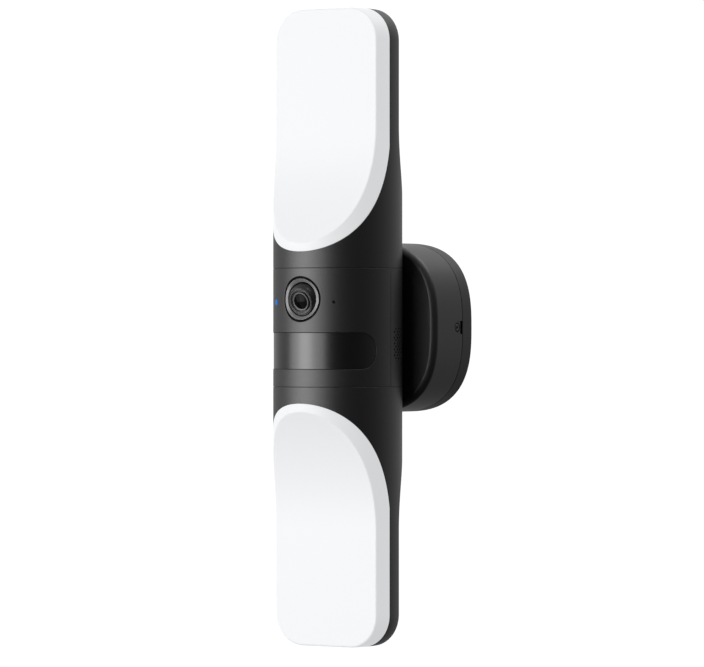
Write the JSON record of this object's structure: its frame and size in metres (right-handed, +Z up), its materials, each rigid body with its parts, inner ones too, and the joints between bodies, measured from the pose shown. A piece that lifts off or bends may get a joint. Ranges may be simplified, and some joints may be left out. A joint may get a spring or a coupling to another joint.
{
  "type": "floodlight security camera",
  "caption": "Upright wall light with scooped opal panels above and below a tilting lens, motion sensor and speaker, on a soft-square wall base.",
  "frame": {"origin": "centre of the wall face, midway between the two box screw slots", "axes": "+Z up along the light body, +Y into the wall, the camera looks along -Y"},
  "size_m": [0.106, 0.1119, 0.394],
  "materials": {
    "shell_black": "fine satin moulded black",
    "cover_black": "fine satin moulded black",
    "housing_black": "fine satin moulded black",
    "base_black": "fine satin moulded black",
    "plate_black": "fine satin moulded black",
    "button_black": "smooth matte",
    "diffuser_white": "smooth opal white",
    "reflector_white": "matt white",
    "seal_rubber": "matte",
    "foam_gasket": "closed-cell foam",
    "led_board": "white solder mask on aluminium",
    "led_chip": "yellow phosphor",
    "heat_sink": "extruded",
    "wire": "sleeved wire",
    "frame_plastic": "glass-filled",
    "screw_steel": "zinc plated",
    "side_screw": "black oxide",
    "chassis_steel": "stamped",
    "lens_ring": "satin dark metallic",
    "lens_ball": "gloss black",
    "lens_barrel": "matt black anodised",
    "lens_glass": "coated",
    "circuit_board": "solder mask",
    "window_black": "gloss black, infrared-clear",
    "sensor_can": "nickel plated",
    "chip_black": "moulded",
    "light_pipe": "lit blue",
    "speaker_frame": "moulded",
    "speaker_cone": "coated paper",
    "shield_can": "tin plated",
    "antenna": "printed copper",
    "switch_body": "moulded",
    "plunger": "moulded",
    "neck_metal": "machined",
    "component": "wound and moulded parts",
    "terminal": "moulded"
  },
  "bodies": {
    "fixture": {"upper_lamp_shell": "shell_black", "lower_lamp_shell": "shell_black", "upper_diffuser": "diffuser_white", "lower_diffuser": "diffuser_white", "diffuser_seals": "seal_rubber", "upper_reflector": "reflector_white", "lower_reflector": "reflector_white", "upper_led_board": "led_board", "lower_led_board": "led_board", "upper_leds": "led_chip", "lower_leds": "led_chip", "upper_heat_sink": "heat_sink", "lower_heat_sink": "heat_sink", "lamp_leads": "wire", "joint_seals": "seal_rubber", "camera_front_cover": "cover_black", "camera_rear_housing": "housing_black", "mid_frame": "frame_plastic", "frame_screws": "screw_steel", "chassis": "chassis_steel", "chassis_screws": "screw_steel", "lens_bezel": "lens_ring", "lens_seal": "seal_rubber", "lens_cradle": "frame_plastic", "sensor_window": "window_black", "sensor_board": "circuit_board", "pir_sensors": "sensor_can", "light_sensor": "chip_black", "status_light_pipe": "light_pipe", "status_led": "chip_black", "microphone": "sensor_can", "mic_seal": "seal_rubber", "speaker": "speaker_frame", "speaker_cone": "speaker_cone", "speaker_gasket": "seal_rubber", "main_board": "circuit_board", "shield_can": "shield_can", "wifi_antenna": "antenna", "sync_button_seal": "seal_rubber", "sync_switch": "switch_body", "switch_board": "circuit_board", "neck": "neck_metal", "neck_seal": "seal_rubber", "neck_nut": "neck_metal", "wire_harness": "wire", "base_housing": "base_black", "wall_plate": "plate_black", "wall_gasket": "foam_gasket", "side_screws": "side_screw", "cable_grommet": "seal_rubber", "driver_board": "circuit_board", "driver_components": "component", "terminal_block": "terminal"},
    "lens_module": {"lens_ball": "lens_ball", "lens_barrel": "lens_barrel", "lens_glass": "lens_glass", "image_sensor_board": "circuit_board"},
    "button": {"sync_button": "button_black", "switch_plunger": "plunger"}
  },
  "joints": [
    {"name": "lens_tilt", "type": "hinge", "parent": "fixture", "child": "lens_module", "pos_m": [0, -0.1036, 0.0174], "axis": [1, 0, 0], "range_deg": [-15, 5]},
    {"name": "button_press", "type": "slide", "parent": "fixture", "child": "button", "axis": [0.9511, -0.309, 0], "range_m": [0, 0.0006], "stiffness_N_per_m": 2000, "springref_m": -0.0003}
  ]
}
